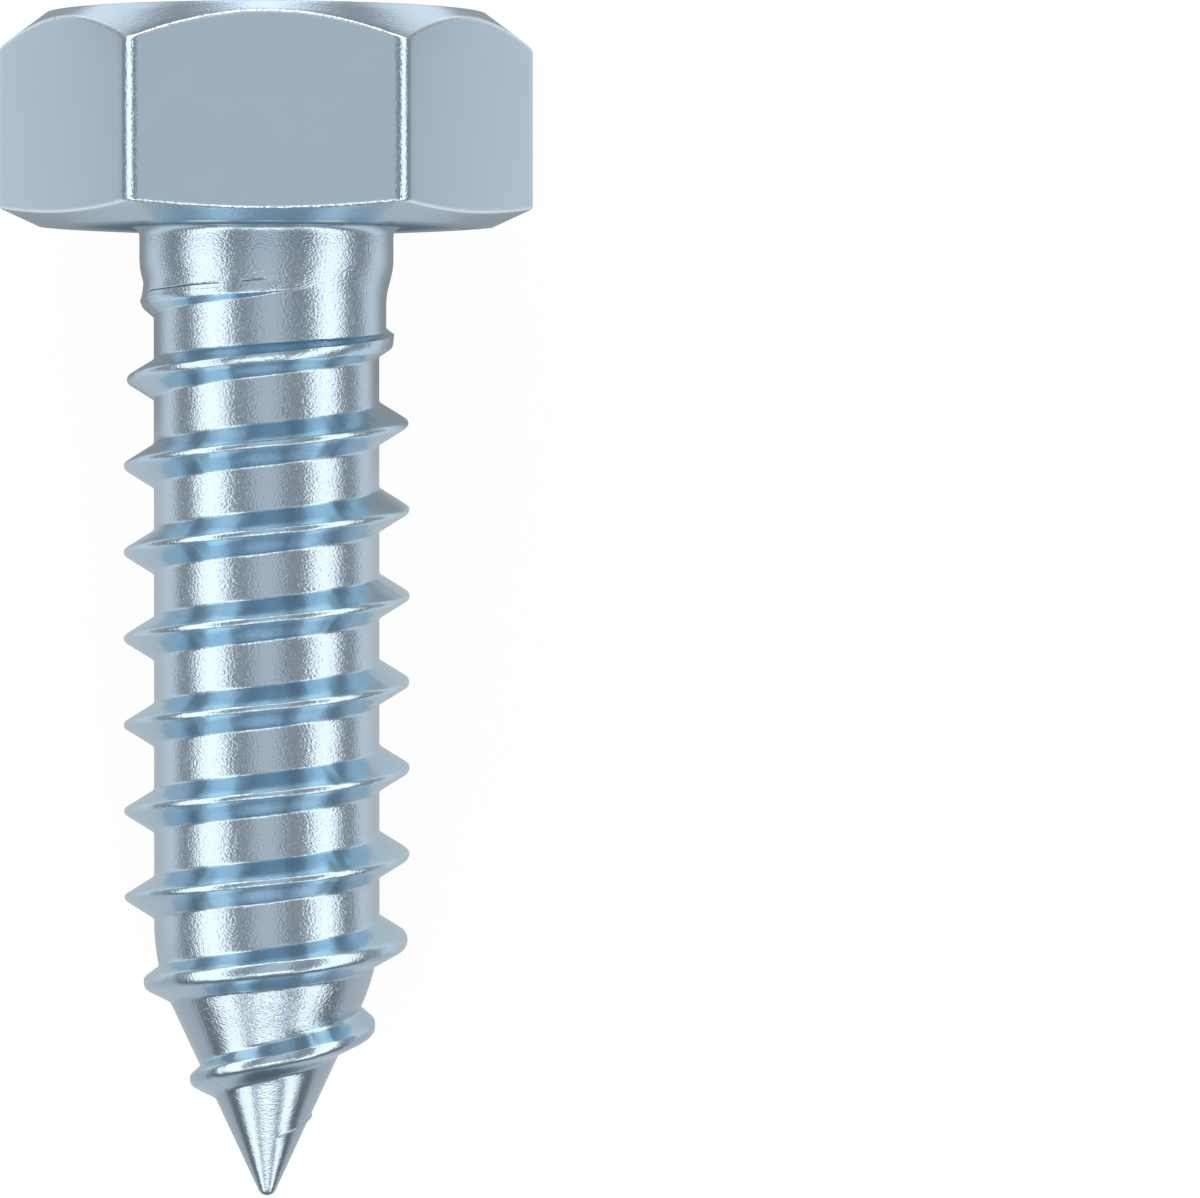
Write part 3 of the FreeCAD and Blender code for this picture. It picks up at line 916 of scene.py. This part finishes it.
def room_world(studio):
    """White to the camera; to everything else a dim room with a paler card round the camera."""
    world = bpy.data.worlds.new("studio_room")
    world.use_nodes = True
    graph = Graph(world.node_tree)
    way = graph.node("ShaderNodeTexCoord", {}, {}, "Generated")
    up, side, along = (graph.dot(way, axis) for axis in (UPWARDS, SIDEWAYS, HEADWARDS))
    along = graph.math("ABSOLUTE", along)
    around = graph.math("ABSOLUTE", graph.math("ARCTAN2", side, up))
    front = (1 - graph.ramp(around, *FRONT_EDGE)) * (1 - FRONT_LOSS * graph.ramp(along, *FRONT_END))
    level = studio.room_radiance + front * (studio.front_radiance - studio.room_radiance)
    camera = graph.node("ShaderNodeLightPath", {}, {}, "Is Camera Ray")
    room = graph.node("ShaderNodeBackground", {}, {"Color": (1, 1, 1, 1), "Strength": level})
    white = graph.node("ShaderNodeBackground", {}, {"Color": (1, 1, 1, 1), "Strength": 1.0})
    surface = graph.node("ShaderNodeMixShader", {}, {0: camera, 1: room, 2: white})
    graph.node("ShaderNodeOutputWorld", {}, {"Surface": surface})
    return world


def turned_to(back):
    """The turn of a lamp or camera whose back points one way and whose picture has the head at its top."""
    right = Vector(HEADWARDS).cross(back).normalized()
    return Matrix((right, back.cross(right), back)).transposed().to_euler()


def softbox(name, across, along, width, length, studio):
    """A rectangular lamp aimed at the screw, at angles across and along the axis off straight up."""
    way = Vector(
        UPWARDS * math.cos(across) * math.cos(along)
        + SIDEWAYS * math.sin(across) * math.cos(along)
        + HEADWARDS * math.sin(along)
    )
    lamp = bpy.data.lights.new(name, "AREA")
    lamp.shape = "RECTANGLE"
    lamp.size, lamp.size_y = width, length
    lamp.energy = studio.lamp_radiance * math.pi * width * length
    lamp.color = studio.lamp_colour
    made = bpy.data.objects.new(name, lamp)
    bpy.context.scene.collection.objects.link(made)
    made.location = Vector(POINTWARDS * LAMP_AIM) + way * LAMP_DISTANCE
    made.rotation_euler = turned_to(way.normalized())
    made.visible_camera = False


def camera_object(studio):
    """The camera: its place squarely above the upper flat, turned until the screw's axis has its place."""
    data = bpy.data.cameras.new("camera")
    data.sensor_width = SENSOR_WIDTH
    data.lens = FOCAL_LENGTH / PICTURE_WIDTH * SENSOR_WIDTH
    data.clip_start = 0.001
    data.clip_end = 10.0
    made = bpy.data.objects.new("camera", data)
    bpy.context.scene.collection.objects.link(made)
    aim = (
        -UPWARDS * FOCAL_LENGTH
        + SIDEWAYS * (PICTURE_WIDTH / 2 - AXIS_COLUMN)
        + HEADWARDS * (HORIZON_ROW - PICTURE_HEIGHT / 2)
    )
    made.location = Vector(UPWARDS * studio.eye_distance + POINTWARDS * studio.eye_depth)
    made.rotation_euler = turned_to(Vector(-aim).normalized())
    return made


class SCREW_OT_stage(bpy.types.Operator):
    """Build the floor, the lamps, the room and the camera"""

    bl_idname = "screw.build_stage"
    bl_label = "Build Stage"

    def execute(self, context):
        studio = context.scene.screw_studio
        corners = ((-1, -1), (1, -1), (1, 1), (-1, 1))
        points = np.array([[FLOOR_REACH * x, FLOOR_REACH * y, CAD_BOX[0].z] for x, y in corners])
        floor = mesh_from("floor", points, np.array([[0, 1, 2], [0, 2, 3]]))
        floor.data.materials.append(floor_material(studio))
        context.scene.world = room_world(studio)
        for name, (across, along, width, length) in LAMPS.items():
            softbox(name, math.radians(across), math.radians(along), width, length, studio)
        context.scene.camera = camera_object(studio)
        context.scene.view_settings.view_transform = "Standard"
        return {"FINISHED"}


class SCREW_PT_panel(bpy.types.Panel):
    """Lists the sizes, the finish and the studio, with the steps that build them"""

    bl_idname = "SCREW_PT_panel"
    bl_label = "Hex Head Screw"
    bl_space_type = "VIEW_3D"
    bl_region_type = "UI"
    bl_category = "Screw"

    def draw(self, context):
        for operator, group in (
            (SCREW_OT_screw, "screw_head"),
            (None, "screw_shank"),
            (None, "screw_finish"),
            (SCREW_OT_stage, "screw_studio"),
        ):
            if operator:
                self.layout.operator(operator.bl_idname)
            settings = getattr(context.scene, group)
            for name in settings.__annotations__:
                self.layout.prop(settings, name)


GROUPS = {
    "screw_head": HeadSizes,
    "screw_shank": ShankSizes,
    "screw_finish": ZincFinish,
    "screw_studio": StudioSettings,
}
CLASSES = (*GROUPS.values(), SCREW_OT_screw, SCREW_OT_stage, SCREW_PT_panel)


def register():
    """Registers the classes and hangs their settings on the scene."""
    for each in CLASSES:
        bpy.utils.register_class(each)
    for name, group in GROUPS.items():
        setattr(bpy.types.Scene, name, bpy.props.PointerProperty(type=group))


def unregister():
    """Takes the settings and the classes away again."""
    for name in GROUPS:
        delattr(bpy.types.Scene, name)
    for each in reversed(CLASSES):
        bpy.utils.unregister_class(each)


def main():
    """Builds the screw and its stage."""
    register()
    bpy.ops.screw.build_screw()
    bpy.ops.screw.build_stage()


if __name__ == "__main__":
    main()
